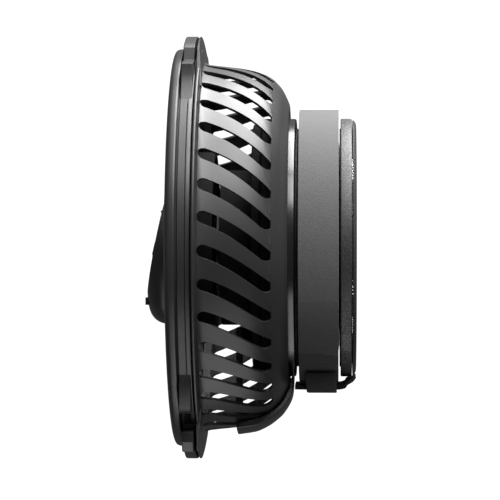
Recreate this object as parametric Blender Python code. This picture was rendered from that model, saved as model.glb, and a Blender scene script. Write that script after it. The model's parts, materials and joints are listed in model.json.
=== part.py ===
"""A wave maker pump held to aquarium glass by magnets, modelled piece by piece.

The pump's axis is the Y axis: the outlet faces -Y, the dry side lies at +Y, and Z is up.
The origin is the centre of the wet pad's glass face. Dimensions are in millimetres, and
become metres where a mesh is made. A profile is a list of (y, radius) points, and an
outline is a list of (x, z) points.
"""
import math

import bmesh
import bpy

MM = 0.001
CLEARANCE = 0.3
SMOOTH_ANGLE = math.radians(35)
COARSE = 20
FINE = 40

# Intake cage
SLOT_COUNT = 36
SLOT_FRONT = -28.1
SLOT_LENGTH = 20.8
SLOT_HALF_WIDTH = 1.8
SLOT_LEAN = 0.27
SLOT_CURL = 0.0165
SLOT_STATIONS = (0.0, 0.055, 0.2, 0.43, 0.66, 0.89, 1.0)
CAGE_WALL = 0.9
CAGE_MEAN_RADIUS = 54.5
CAGE_OUTER = [
    (-28.3, 56.1), (-27.0, 55.5), (-24.0, 55.1), (-20.0, 54.7), (-15.4, 54.0),
    (-12.5, 53.3), (-10.0, 52.4), (-7.9, 51.2), (-6.4, 49.8), (-5.0, 48.2),
    (-3.9, 46.2), (-3.0, 44.2), (-2.65, 43.0), (-2.9, 41.6), (-3.9, 40.0),
]
FLANGE_FRONT = -29.6
FLANGE_RADIUS = 60.0
SPIGOT_BORE = 55.2

# Lugs at top and bottom, by which the cover is turned
LUG_TIP = 64.0
LUG_NEAR = [
    (40.7, 41.6), (38.4, 44.8), (36.6, 47.8), (35.7, 50.8), (35.5, 53.9), (24.2, 55.4), (23.2, 59.4),
]
LUG_FAR = [
    (-30.4, 59.6), (-33.0, 56.6), (-33.0, 53.4), (-27.5, 53.0), (-28.0, 48.4), (-45.0, 47.2),
    (-47.3, 46.2), (-46.3, 43.0), (-45.8, 40.0), (-45.8, 37.6), (-46.4, 35.2),
]
LUG_TIP_HALF_ANGLE = math.radians(20)
LUG_ROOT_RADIUS = 57.6
LUG_FRONT = -33.7
LUG_BACK = -30.3
CAGE_LUG_NEAR = [(31.0, 47.6), (24.8, 58.8)]
CAGE_LUG_FAR = [(-28.5, 59.4), (-32.0, 47.0)]
CAGE_LUG_ROOT_RADIUS = 55.6
CAGE_LUG_BACK = -27.9
CAGE_LUG_TAPER = 0.085

# Front cover and outlet
COVER_BACK = -29.9
BAND_RADIUS = 58.6
RIM_RADIUS = 60.2
DOME_FRONT = -38.8
OUTLET_RADIUS = 27.6
SHROUD_RADIUS = 29.0
SHROUD_BACK = -25.0
VANE_COUNT = 18
VANE_THICKNESS = 1.3
VANE_SWEEP = math.radians(18)
HUB_RADIUS = 20.2
GRILLE_FRONT = -38.6
NOSE_RADIUS = 19.8
NOSE_EDGE = 5.5
NOSE_FRONT = -45.3
NOSE_BACK = -39.1
NOSE_DROP = -3.4
NOSE_TAB = [(4.0, -15.0), (9.0, -15.0), (9.0, -17.2), (4.0, -17.2)]
NOSE_TAB_FRONT = -46.1

# Motor
HOUSING_FRONT = -23.3
MOTOR_RADIUS = 23.5
FLANGE_STEP_RADIUS = 37.4
PUCK_RADIUS = 39.1
CAN_BORE = 9.5
CAN_WALL = 0.6
STATOR_RADIUS = 21.2
TOOTH_COUNT = 6
TOOTH_HALF_WIDTH = 1.7
SHAFT_RADIUS = 1.25
BUSH_BORE = 1.55
CARRIER_RADIUS = 5.0

# Propeller
BLADE_COUNT = 5
BLADE_TIP = 26.8
BLADE_THICKNESS = 1.1
PROPELLER_FRONT = -31.0
PROPELLER_BACK = -25.0

# Magnet mount
PAD_RADIUS = 36.1
PAD_RECESS = 36.45
WET_PAD_THICKNESS = 1.2
FOAM_RADIUS = 41.3
FOAM_RISE = 0.5
FOAM_FRONT = 0.3
FOAM_BACK = 12.1
DRY_PAD_FRONT = 12.4
DRY_PAD_BACK = 13.2
DRY_BACK = 17.4
DRY_EDGE = 2.2
MAGNET_COUNT = 4
WET_MAGNET_RING = 28.4
DRY_MAGNET_RING = 24.0

# Strap under the spacer
SADDLE_FRONT = -18.2
SADDLE_HALF_ANGLE = math.radians(19.5)
STRAP_HALF_WIDTH = 9.0
STRAP_TOP = -41.2
STRAP_THICKNESS = 1.4
BLOCK_HALF_WIDTH = 19.7
BLOCK_SIDE = -42.7
BLOCK_BOTTOM = -43.5


def clear_scene():
    for old in list(bpy.data.objects):
        bpy.data.objects.remove(old, do_unlink=True)


def finish(name, colour, roughness, metallic=0.0):
    """A Principled material."""
    made = bpy.data.materials.new(name)
    made.use_nodes = True
    shader = made.node_tree.nodes["Principled BSDF"]
    shader.inputs["Base Color"].default_value = (*colour, 1.0)
    shader.inputs["Roughness"].default_value = roughness
    shader.inputs["Metallic"].default_value = metallic
    return made


def make_finishes():
    return {
        "satin": finish("satin_plastic", (0.028, 0.028, 0.03), 0.42),
        "gloss": finish("gloss_plastic", (0.012, 0.012, 0.013), 0.18),
        "grain": finish("grained_plastic", (0.022, 0.022, 0.023), 0.5),
        "rubber": finish("black_rubber", (0.01, 0.01, 0.01), 0.75),
        "foam": finish("grey_foam", (0.07, 0.07, 0.072), 0.95),
        "ceramic": finish("white_ceramic", (0.85, 0.84, 0.8), 0.2),
        "nickel": finish("nickel_plate", (0.62, 0.6, 0.56), 0.28, 1.0),
        "ferrite": finish("ferrite", (0.05, 0.045, 0.045), 0.55),
        "steel": finish("stator_steel", (0.38, 0.38, 0.4), 0.4, 1.0),
        "copper": finish("copper_wire", (0.72, 0.33, 0.16), 0.35, 1.0),
        "board": finish("circuit_board", (0.02, 0.16, 0.06), 0.5),
        "nylon": finish("white_nylon", (0.75, 0.74, 0.7), 0.5),
    }


def make_body(name):
    """An empty on the pump's axis, which carries the pieces that move together."""
    body = bpy.data.objects.new(name, None)
    bpy.context.collection.objects.link(body)
    return body


def make_object(name, bm, material, body=None):
    """Turns a closed bmesh into an object whose faces point outwards."""
    bmesh.ops.recalc_face_normals(bm, faces=bm.faces)
    if bm.calc_volume(signed=True) < 0:
        bmesh.ops.reverse_faces(bm, faces=bm.faces)
    mesh = bpy.data.meshes.new(name)
    bm.to_mesh(mesh)
    bm.free()
    mesh.shade_smooth()
    mesh.set_sharp_from_angle(angle=SMOOTH_ANGLE)
    mesh.materials.append(material)
    made = bpy.data.objects.new(name, mesh)
    bpy.context.collection.objects.link(made)
    made.parent = body
    return made


def make_copy(original, name):
    made = original.copy()
    made.name = name
    bpy.context.collection.objects.link(made)
    return made


def combine(part, tool, operation):
    """Joins a hidden tool to a part, or cuts it away."""
    tool.hide_render = True
    tool.display_type = "WIRE"
    change = part.modifiers.new(tool.name, "BOOLEAN")
    change.operation = operation
    change.solver = "EXACT"
    change.object = tool


def around(radius, angle, y):
    """The point at this radius from the axis, with the angle taken from +Z towards +X."""
    return (radius * math.sin(angle), y, radius * math.cos(angle))


def vertex(bm, point):
    return bm.verts.new([value * MM for value in point])


def bridge(bm, first, second):
    """Faces between two closed rings. A ring of one point is a pole."""
    count = max(len(first), len(second))
    if count == 1:
        return
    for i in range(count):
        corners = (
            first[i % len(first)],
            first[(i + 1) % len(first)],
            second[(i + 1) % len(second)],
            second[i % len(second)],
        )
        bm.faces.new(list(dict.fromkeys(corners)))


def add_turned(bm, profile, steps, drop=0.0):
    """Turns a profile about the axis, or about a line that lies drop above it."""
    rings = []
    for y, radius in profile:
        count = steps if radius > 0 else 1
        points = [around(radius, math.tau * i / steps, y) for i in range(count)]
        rings.append([vertex(bm, (x, y, z + drop)) for x, y, z in points])
    for first, second in zip(rings, rings[1:] + rings[:1]):
        bridge(bm, first, second)


def add_loft(bm, sections):
    """A closed body through sections that each have the same number of points."""
    rings = [[vertex(bm, point) for point in section] for section in sections]
    for first, second in zip(rings, rings[1:]):
        bridge(bm, first, second)
    bm.faces.new(rings[0])
    bm.faces.new(rings[-1])


def add_prism(bm, outline, front, back):
    add_loft(bm, [[(x, y, z) for x, z in outline] for y in (front, back)])


def turned(name, profile, material, body, steps=COARSE, drop=0.0):
    bm = bmesh.new()
    add_turned(bm, profile, steps, drop)
    return make_object(name, bm, material, body)


def tube(name, bore, radius, front, back, material, body, steps=COARSE):
    profile = [(front, bore), (front, radius), (back, radius), (back, bore)]
    return turned(name, profile, material, body, steps)


def disc(name, radius, front, back, material, body, steps=FINE):
    profile = [(front, 0.0), (front, radius), (back, radius), (back, 0.0)]
    return turned(name, profile, material, body, steps)


def arc_points(radius, start, end, steps):
    """Outline points (x, z) on a circle about the axis."""
    angles = [start + (end - start) * i / steps for i in range(steps + 1)]
    return [(radius * math.sin(angle), radius * math.cos(angle)) for angle in angles]


def offset_profile(profile, distance):
    """The profile moved sideways, towards the axis if it runs along +Y."""
    moved = []
    for i, (y, radius) in enumerate(profile):
        before = profile[max(i - 1, 0)]
        after = profile[min(i + 1, len(profile) - 1)]
        along, out = after[0] - before[0], after[1] - before[1]
        length = math.hypot(along, out)
        moved.append((y + distance * out / length, radius - distance * along / length))
    return moved


def profile_at(profile, y):
    """The point of a profile at this y, on its stretch that runs along +Y."""
    for (y0, r0), (y1, r1) in zip(profile, profile[1:]):
        if y0 <= y <= y1:
            return y, r0 + (r1 - r0) * (y - y0) / (y1 - y0)
    return profile[-1]


# Intake cage


def slot_angle(along):
    """How far a slot has turned about the axis, this far behind its front end."""
    return (SLOT_LEAN * along + SLOT_CURL * along**2) / CAGE_MEAN_RADIUS


def cage_stations():
    """Rings of the cage from front to back: (outer point, inner point, turn, half angle)."""
    turn_back = slot_angle(SLOT_LENGTH)
    stations = [
        ((FLANGE_FRONT, FLANGE_RADIUS), (FLANGE_FRONT, SPIGOT_BORE), 0.0, 0.0),
        ((-28.9, FLANGE_RADIUS), (-28.6, SPIGOT_BORE), 0.0, 0.0),
        ((-28.5, 59.4), (-28.4, 55.15), 0.0, 0.0),
        ((-28.4, 56.7), (-28.3, 55.1), 0.0, 0.0),
    ]
    inner = offset_profile(CAGE_OUTER, CAGE_WALL)
    for share in SLOT_STATIONS:
        along = share * SLOT_LENGTH
        outer_point = profile_at(CAGE_OUTER, SLOT_FRONT + along)
        inner_point = profile_at(inner, SLOT_FRONT + along)
        shut = share in (0.0, 1.0)
        width = SLOT_HALF_WIDTH * (0.72 if share == SLOT_STATIONS[1] else 1.0)
        half = 0.0 if shut else width / CAGE_MEAN_RADIUS
        stations.append((outer_point, inner_point, slot_angle(along), half))
    for outer_point, inner_point in zip(CAGE_OUTER, inner):
        if outer_point[0] > SLOT_FRONT + SLOT_LENGTH or outer_point[1] < CAGE_OUTER[7][1]:
            stations.append((outer_point, inner_point, turn_back, 0.0))
    return stations


def cage_ring(bm, point, turn, half):
    """Columns (left, right, middle of rib) of one ring. Left is right where no slot is open."""
    y, radius = point
    pitch = math.tau / SLOT_COUNT
    columns = []
    for i in range(SLOT_COUNT):
        centre = i * pitch + turn
        left = vertex(bm, around(radius, centre - half, y))
        right = vertex(bm, around(radius, centre + half, y)) if half else left
        middle = vertex(bm, around(radius, centre + pitch / 2, y))
        columns.append((left, right, middle))
    return columns


def add_ribs(bm, first, second):
    """The faces between two rings, on one side of the wall."""
    for i, ((_, right, middle), (_, next_right, next_middle)) in enumerate(zip(first, second)):
        left, next_left = first[(i + 1) % SLOT_COUNT][0], second[(i + 1) % SLOT_COUNT][0]
        bm.faces.new((right, middle, next_middle, next_right))
        bm.faces.new((middle, left, next_left, next_middle))


def add_slot_sides(bm, outer, inner, next_outer, next_inner):
    """The faces through the wall on both sides of each slot."""
    for side in (0, 1):
        for rings in zip(outer, inner, next_inner, next_outer):
            bm.faces.new([columns[side] for columns in rings])


def add_cage_wall(bm):
    stations = cage_stations()
    outer = [cage_ring(bm, point, turn, half) for point, _, turn, half in stations]
    inner = [cage_ring(bm, point, turn, half) for _, point, turn, half in stations]
    for i in range(len(stations) - 1):
        add_ribs(bm, outer[i], outer[i + 1])
        add_ribs(bm, inner[i], inner[i + 1])
        if stations[i][3] or stations[i + 1][3]:
            add_slot_sides(bm, outer[i], inner[i], outer[i + 1], inner[i + 1])
    add_ribs(bm, outer[0], inner[0])
    add_ribs(bm, outer[-1], inner[-1])


def lug_tip():
    return arc_points(LUG_TIP, LUG_TIP_HALF_ANGLE, -LUG_TIP_HALF_ANGLE, 6)


def add_cage_lugs(bm):
    """Two lugs that match the cover's, thinner towards their tips."""
    start = math.atan2(*CAGE_LUG_NEAR[0])
    end = math.atan2(*CAGE_LUG_FAR[-1])
    root = arc_points(CAGE_LUG_ROOT_RADIUS, end, start, 8)
    root_height = CAGE_LUG_NEAR[0][1]
    for side in (1, -1):
        outline = [(side * x, side * z) for x, z in CAGE_LUG_NEAR + lug_tip() + CAGE_LUG_FAR + root]
        back = [
            (x, CAGE_LUG_BACK - CAGE_LUG_TAPER * max(0.0, abs(z) - root_height), z)
            for x, z in outline
        ]
        add_loft(bm, [[(x, FLANGE_FRONT, z) for x, z in outline], back])


def make_cage(finishes, body):
    bm = bmesh.new()
    add_cage_wall(bm)
    cage = make_object("intake_cage", bm, finishes["satin"], body)
    bm = bmesh.new()
    add_cage_lugs(bm)
    combine(cage, make_object("cage_lugs_tool", bm, finishes["satin"], body), "UNION")


def make_cage_strut(finishes, body):
    """The upright web under the motor, between the housing and the cage."""
    outline = [(-4.0, -24.2), (4.0, -24.2), (4.0, -52.7), (-4.0, -52.7)]
    bm = bmesh.new()
    add_prism(bm, outline, -18.9, -17.0)
    make_object("cage_strut", bm, finishes["satin"], body)


# Motor


def make_housing(finishes, body):
    """Stepped shell that is open towards the glass, with a groove for the can's seal."""
    profile = [
        (HOUSING_FRONT, 10.4), (HOUSING_FRONT, 11.2), (-21.9, 11.2), (-21.9, 12.8),
        (HOUSING_FRONT, 12.8), (HOUSING_FRONT, MOTOR_RADIUS - 0.9),
        (HOUSING_FRONT + 0.9, MOTOR_RADIUS), (-13.6, MOTOR_RADIUS),
        (-13.6, FLANGE_STEP_RADIUS - 0.6), (-13.0, FLANGE_STEP_RADIUS),
        (-11.0, FLANGE_STEP_RADIUS), (-10.6, PUCK_RADIUS), (-4.9, PUCK_RADIUS),
        (-4.9, 37.0), (-10.2, 37.0), (-10.2, 35.4), (-12.0, 35.4), (-12.0, 21.6),
        (-21.3, 21.6), (-21.3, 14.2), (-21.0, 14.2), (-21.0, 10.4),
    ]
    turned("motor_housing", profile, finishes["satin"], body, FINE)


def make_can(finishes, body):
    radius = CAN_BORE + CAN_WALL
    profile = [
        (-7.2, 0.0), (-7.2, radius - 0.7), (-7.9, radius), (-23.6, radius), (-23.6, 13.4),
        (-24.4, 13.4), (-24.4, CAN_BORE), (-7.8, CAN_BORE), (-7.8, 0.0),
    ]
    turned("rotor_can", profile, finishes["gloss"], body)


def make_can_seal(finishes, body):
    steps = 6
    ring = [math.tau * i / steps for i in range(steps)]
    profile = [(-22.6 + 0.55 * math.cos(a), 12.0 + 0.55 * math.sin(a)) for a in ring]
    turned("can_seal", profile, finishes["rubber"], body)


def add_stator_windows(bm):
    """The six spaces between the teeth, each with a narrow mouth towards the rotor."""
    pitch = math.tau / TOOTH_COUNT
    mouth, shoe, deep = 9.5, 12.6, 18.0
    half_mouth = 0.9

    def beside_tooth(radius, side):
        return radius, side * (pitch / 2 - math.asin(TOOTH_HALF_WIDTH / radius))

    for i in range(TOOTH_COUNT):
        right = [
            (mouth, half_mouth / mouth), (shoe - 1.0, half_mouth / shoe),
            beside_tooth(shoe, 1), beside_tooth(deep, 1),
        ]
        left = [(radius, -angle) for radius, angle in reversed(right)]
        centre = (i + 0.5) * pitch
        outline = [
            (radius * math.sin(centre + angle), radius * math.cos(centre + angle))
            for radius, angle in right + [(deep + 0.5, 0.0)] + left
        ]
        add_prism(bm, outline, -20.5, -12.5)


def make_stator(finishes, body):
    core = tube("stator_core", 10.9, STATOR_RADIUS, -19.6, -13.4, finishes["steel"], body, 36)
    bm = bmesh.new()
    add_stator_windows(bm)
    combine(core, make_object("stator_windows_tool", bm, finishes["steel"], body), "DIFFERENCE")


def coil_section(half_width, half_height, corner, depth):
    """A rectangle with cut corners, at this distance from the axis."""
    middle = -16.5
    quarter = [(half_width, half_height - corner), (half_width - corner, half_height)]
    points = quarter + [(-x, y) for x, y in reversed(quarter)]
    points += [(-x, -y) for x, y in points]
    return [(x, middle + y, depth) for x, y in points]


def make_coils(finishes, body):
    """One winding round each tooth, made at the top and turned to its place."""
    inner = TOOTH_HALF_WIDTH + CLEARANCE
    near, far = 12.9, 17.0
    rings = (
        coil_section(3.5, 4.1, 1.0, near), coil_section(3.5, 4.1, 1.0, far),
        coil_section(inner, 3.4, 0.2, far), coil_section(inner, 3.4, 0.2, near),
    )
    bm = bmesh.new()
    made = [[vertex(bm, point) for point in ring] for ring in rings]
    for first, second in zip(made, made[1:] + made[:1]):
        bridge(bm, first, second)
    coil = make_object("stator_coil_1", bm, finishes["copper"], body)
    for i in range(1, TOOTH_COUNT):
        turned_coil = make_copy(coil, f"stator_coil_{i + 1}")
        turned_coil.rotation_euler.y = math.tau * i / TOOTH_COUNT


def make_board(finishes, body):
    tube("driver_board", 10.6, 19.8, -11.2, -10.0, finishes["board"], body, 36)
    bm = bmesh.new()
    add_prism(bm, [(-4.0, -17.5), (4.0, -17.5), (4.0, -12.5), (-4.0, -12.5)], -9.7, -6.4)
    make_object("lead_connector", bm, finishes["nylon"], body)


def make_lead_gland(finishes, body):
    """The tapered rubber inlet of the lead, on the housing's shoulder."""
    profile = [(-18.0, 2.2), (-18.0, 3.0), (-13.9, 3.8), (-13.9, 2.2)]
    gland = turned("lead_gland", profile, finishes["rubber"], body, 16)
    gland.location = (-12.0 * MM, 0.0, -27.5 * MM)


def make_shaft(finishes, body):
    disc("ceramic_shaft", SHAFT_RADIUS, -38.8, -8.4, finishes["ceramic"], body, 16)
    tube("rear_shaft_bush", SHAFT_RADIUS + 0.25, 4.2, -10.2, -8.1, finishes["rubber"], body)


def make_base_plate(finishes, body):
    """The lid of the wet side, with a lip inside the housing and a recess for the pad."""
    profile = [
        (-1.5, 0.0), (-1.5, PAD_RECESS), (-0.6, PAD_RECESS), (-0.6, PUCK_RADIUS - 0.9),
        (-0.9, PUCK_RADIUS - 0.2), (-1.5, PUCK_RADIUS), (-4.2, PUCK_RADIUS), (-4.6, PUCK_RADIUS - 0.4), (-4.6, 36.7),
        (-6.0, 36.7), (-6.0, 35.4), (-4.6, 35.4), (-4.6, 0.0),
    ]
    turned("wet_base_plate", profile, finishes["gloss"], body, FINE)


def make_magnets(side, count, ring, radius, front, back, finishes, body):
    first = disc(f"{side}_magnet_1", radius, front, back, finishes["nickel"], body, COARSE)
    for i in range(count):
        magnet = first if i == 0 else make_copy(first, f"{side}_magnet_{i + 1}")
        x, _, z = around(ring, math.tau * (i + 0.5) / count, 0.0)
        magnet.location = (x * MM, 0.0, z * MM)


# Rotor


def add_blades(bm):
    """Twisted blades, each lofted from the hub to the tip."""
    sections = 5
    root = 7.6
    for i in range(BLADE_COUNT):
        start = math.tau * i / BLADE_COUNT
        blade = []
        for j in range(sections):
            radius = root + (BLADE_TIP - root) * j / (sections - 1)
            sweep = math.radians(46 + 10 * j / (sections - 1))
            skew = math.radians(14) * (j / (sections - 1)) ** 2
            blade.append(blade_section(radius, start + skew, sweep))
        add_loft(bm, blade)


def blade_section(radius, start, sweep):
    """A cambered section along the blade's chord at one radius."""
    steps = 5
    front, back = PROPELLER_FRONT + 0.4, PROPELLER_BACK - 0.4
    upper, lower = [], []
    for i in range(steps + 1):
        share = i / steps
        angle = start + sweep * share
        middle = front + (back - front) * (share + 0.12 * math.sin(math.pi * share))
        half = BLADE_THICKNESS / 2 * (0.35 + 0.65 * math.sin(math.pi * share))
        upper.append(around(radius, angle, middle - half))
        lower.append(around(radius, angle, middle + half))
    return upper + lower[::-1]


def make_propeller(finishes, body):
    profile = [
        (PROPELLER_FRONT, CARRIER_RADIUS + CLEARANCE), (PROPELLER_FRONT, 7.9),
        (PROPELLER_FRONT + 0.6, 8.5), (PROPELLER_BACK, 8.5),
        (PROPELLER_BACK, CARRIER_RADIUS + CLEARANCE),
    ]
    propeller = turned("propeller", profile, finishes["grain"], body)
    bm = bmesh.new()
    add_blades(bm)
    combine(propeller, make_object("blades_tool", bm, finishes["grain"], body), "UNION")
    tube("propeller_nut", CARRIER_RADIUS + CLEARANCE, 7.6, -32.6, -31.3, finishes["grain"], body)


def make_rotor(finishes, body):
    carrier = [
        (-35.0, 3.6), (-35.0, CARRIER_RADIUS), (-24.7, CARRIER_RADIUS), (-24.7, 7.6),
        (-23.4, 7.6), (-23.4, CARRIER_RADIUS), (-10.7, CARRIER_RADIUS), (-10.7, 3.6),
    ]
    turned("rotor_carrier", carrier, finishes["grain"], body)
    bore = CARRIER_RADIUS + CLEARANCE
    tube("rotor_magnet", bore, 8.6, -23.0, -11.0, finishes["ferrite"], body)
    tube("rotor_bush_front", BUSH_BORE, 3.3, -35.0, -31.0, finishes["ceramic"], body, 16)
    tube("rotor_bush_rear", BUSH_BORE, 3.3, -15.0, -10.7, finishes["ceramic"], body, 16)
    tube("thrust_washer", BUSH_BORE, 4.2, -36.0, -35.3, finishes["ceramic"], body, 16)
    make_propeller(finishes, body)


# Front cover


def cover_profile():
    """The domed shell, its band, its spigot inside the cage, and the shroud of the propeller."""
    outside = [
        (COVER_BACK, BAND_RADIUS), (-33.7, BAND_RADIUS), (-34.0, 60.0), (-34.7, RIM_RADIUS),
        (-35.9, 60.1), (-36.6, 59.7), (-37.0, 58.9), (-37.2, 57.6), (-37.4, 54.0),
        (-37.9, 45.0), (DOME_FRONT, 31.0),
    ]
    mouth = [(-39.3, 28.9), (-39.0, 28.0), (-38.4, OUTLET_RADIUS), (SHROUD_BACK, OUTLET_RADIUS)]
    inside = [
        (SHROUD_BACK, SHROUD_RADIUS), (-35.4, SHROUD_RADIUS), (-36.4, 30.6), (-35.7, 45.5),
        (-35.2, 53.0), (-34.6, 55.8), (-33.6, 56.6), (-31.4, 56.6), (-31.0, 53.6),
    ]
    spigot = [(-28.7, 53.6), (-28.7, SPIGOT_BORE - CLEARANCE), (COVER_BACK, SPIGOT_BORE - CLEARANCE)]
    return outside + mouth + inside + spigot


def add_cover_lugs(bm):
    start = math.atan2(*LUG_NEAR[0])
    end = math.atan2(*LUG_FAR[-1])
    root = arc_points(LUG_ROOT_RADIUS, end, start, 16)
    for side in (1, -1):
        outline = [(side * x, side * z) for x, z in LUG_NEAR + lug_tip() + LUG_FAR + root]
        add_prism(bm, outline, LUG_FRONT, LUG_BACK)


def make_cover(finishes, body):
    cover = turned("front_cover", cover_profile(), finishes["satin"], body, FINE)
    bm = bmesh.new()
    add_cover_lugs(bm)
    combine(cover, make_object("cover_lugs_tool", bm, finishes["satin"], body), "UNION")


def add_vanes(bm):
    """Curved vanes between the hub and the ring of the outlet."""
    inner, outer = HUB_RADIUS - 0.7, 26.6
    steps = 3
    for i in range(VANE_COUNT):
        start = math.tau * i / VANE_COUNT
        right, left = [], []
        for j in range(steps + 1):
            radius = inner + (outer - inner) * j / steps
            angle = start + VANE_SWEEP * j / steps
            half = VANE_THICKNESS / 2 / radius
            right.append((radius * math.sin(angle + half), radius * math.cos(angle + half)))
            left.append((radius * math.sin(angle - half), radius * math.cos(angle - half)))
        add_prism(bm, right + left[::-1], GRILLE_FRONT + 0.3, -35.2)


def make_grille(finishes, body):
    hub = [
        (GRILLE_FRONT, 4.3), (GRILLE_FRONT, HUB_RADIUS), (-37.0, HUB_RADIUS), (-37.0, 7.0),
        (-36.3, 7.0), (-36.3, 4.3),
    ]
    ring = [(GRILLE_FRONT, 26.0), (GRILLE_FRONT, 27.2), (-34.4, 27.2), (-34.4, 26.0)]
    bm = bmesh.new()
    add_turned(bm, hub, 36)
    add_turned(bm, ring, 36)
    grille = make_object("outlet_grille", bm, finishes["satin"], body)
    bm = bmesh.new()
    add_vanes(bm)
    combine(grille, make_object("vanes_tool", bm, finishes["satin"], body), "UNION")
    tube("nose_bush", SHAFT_RADIUS + 0.25, 4.0, -38.4, -36.3, finishes["rubber"], body, 16)


def make_nose(finishes, body):
    """The nose, rounded at its edge, cut off by a plane that leans back, with a tab at its foot."""
    corner = NOSE_FRONT + NOSE_EDGE
    flat = NOSE_RADIUS - NOSE_EDGE
    steps = 4
    turns = [math.pi / 2 * i / steps for i in range(steps + 1)]
    edge = [(corner - NOSE_EDGE * math.sin(a), flat + NOSE_EDGE * math.cos(a)) for a in turns]
    profile = [(NOSE_BACK, 0.0), (NOSE_BACK, NOSE_RADIUS)] + edge + [(NOSE_FRONT, 0.0)]
    nose = turned("nose_cap", profile, finishes["satin"], body, 36, NOSE_DROP)
    top, bottom, ahead = (-39.4, 18.4), (-45.5, -14.7), -60.0
    side = [top, bottom, (ahead, bottom[1]), (ahead, top[1])]
    bm = bmesh.new()
    add_loft(bm, [[(x, y, z) for y, z in side] for x in (-30.0, 30.0)])
    combine(nose, make_object("nose_plane_tool", bm, finishes["satin"], body), "DIFFERENCE")
    bm = bmesh.new()
    add_prism(bm, NOSE_TAB, NOSE_TAB_FRONT, NOSE_FRONT + 2.0)
    combine(nose, make_object("nose_tab_tool", bm, finishes["satin"], body), "UNION")


# Magnet mount


def make_dry_side(finishes, body):
    disc("dry_pad", PAD_RADIUS, DRY_PAD_FRONT, DRY_PAD_BACK, finishes["rubber"], body)
    shell = [
        (13.5, 0.0), (13.5, PAD_RECESS), (12.7, PAD_RECESS), (12.7, PUCK_RADIUS - 0.6),
        (13.2, PUCK_RADIUS),
        (DRY_BACK - DRY_EDGE, PUCK_RADIUS), (16.0, PUCK_RADIUS - 0.2), (16.0, 36.6),
        (14.1, 36.6), (14.1, 0.0),
    ]
    turned("dry_shell", shell, finishes["grain"], body, FINE)
    back = [
        (16.3, 36.0), (16.3, PUCK_RADIUS - 0.25), (16.9, PUCK_RADIUS - 0.8),
        (17.25, PUCK_RADIUS - 1.5), (DRY_BACK, PUCK_RADIUS - DRY_EDGE), (DRY_BACK, 0.0),
        (16.9, 0.0), (16.9, 36.0),
    ]
    turned("dry_back_cover", back, finishes["grain"], body, FINE)


def make_pads_and_foam(finishes, pump, spacer):
    disc("wet_pad", PAD_RADIUS, -WET_PAD_THICKNESS, 0.0, finishes["rubber"], pump)
    foam = [
        (FOAM_FRONT, 0.0), (FOAM_FRONT, FOAM_RADIUS), (FOAM_BACK, FOAM_RADIUS), (FOAM_BACK, 0.0),
    ]
    turned("foam_spacer", foam, finishes["foam"], spacer, FINE, FOAM_RISE)


def make_saddle(finishes, body):
    """The curved plate on the cage's lower shoulder, at which the strap starts."""
    outside = [
        (SADDLE_FRONT, 56.7), (-13.0, 55.9), (-10.6, 55.0), (-8.1, 53.6), (-5.7, 51.7),
        (-4.5, 50.5), (-3.3, 48.8), (-2.1, 46.6), (-1.5, 44.4), (-1.4, 41.0),
    ]
    against_cage = offset_profile(CAGE_OUTER, -CLEARANCE)
    inside = [profile_at(against_cage, SADDLE_FRONT)]
    inside += [point for point in against_cage if point[0] > SADDLE_FRONT and point[1] > 43.5]
    section = outside + [(-2.2, 41.0)] + inside[::-1]
    steps = 8
    turns = [math.pi + SADDLE_HALF_ANGLE * (2 * i / steps - 1) for i in range(steps + 1)]
    bm = bmesh.new()
    add_loft(bm, [[around(radius, turn, y) for y, radius in section] for turn in turns])
    make_object("strap_saddle", bm, finishes["satin"], body)


def make_strap(finishes, body):
    """Flat strap below the spacer that rises behind it to the dry side's lower edge."""
    bottom = STRAP_TOP - STRAP_THICKNESS
    upper = [(-1.0, STRAP_TOP), (12.2, STRAP_TOP), (14.6, -39.8), (16.3, -39.3), (17.1, -38.6)]
    lower = [(17.4, -39.0), (16.5, -40.2), (14.9, -41.2), (12.4, bottom), (-1.0, bottom)]
    half = STRAP_HALF_WIDTH
    bm = bmesh.new()
    add_loft(bm, [[(x, y, z) for y, z in upper + lower] for x in (-half, half)])
    make_object("retaining_strap", bm, finishes["rubber"], body)


def make_block(finishes, body):
    """Cradle below the spacer, with the strap in a channel along its middle."""
    clear = FOAM_RADIUS + 0.4
    channel = STRAP_HALF_WIDTH + 0.4
    floor = STRAP_TOP - STRAP_THICKNESS - CLEARANCE
    outer_angle = math.asin(BLOCK_HALF_WIDTH / clear)
    channel_angle = math.asin(channel / clear)
    right = arc_points(clear, math.pi - outer_angle, math.pi - channel_angle, 4)
    left = [(-x, z) for x, z in reversed(right)]
    outline = right + [(channel, floor), (-channel, floor)] + left
    outline += [(-BLOCK_HALF_WIDTH, BLOCK_SIDE), (-channel - 1.0, BLOCK_BOTTOM)]
    outline += [(channel + 1.0, BLOCK_BOTTOM), (BLOCK_HALF_WIDTH, BLOCK_SIDE)]
    front, back, lean = 1.9, 11.6, 0.13
    top = outline[0][1]
    near = [(x, front + lean * (top - z), z) for x, z in outline]
    bm = bmesh.new()
    add_loft(bm, [near, [(x, back, z) for x, z in outline]])
    make_object("strap_block", bm, finishes["rubber"], body)


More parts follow.
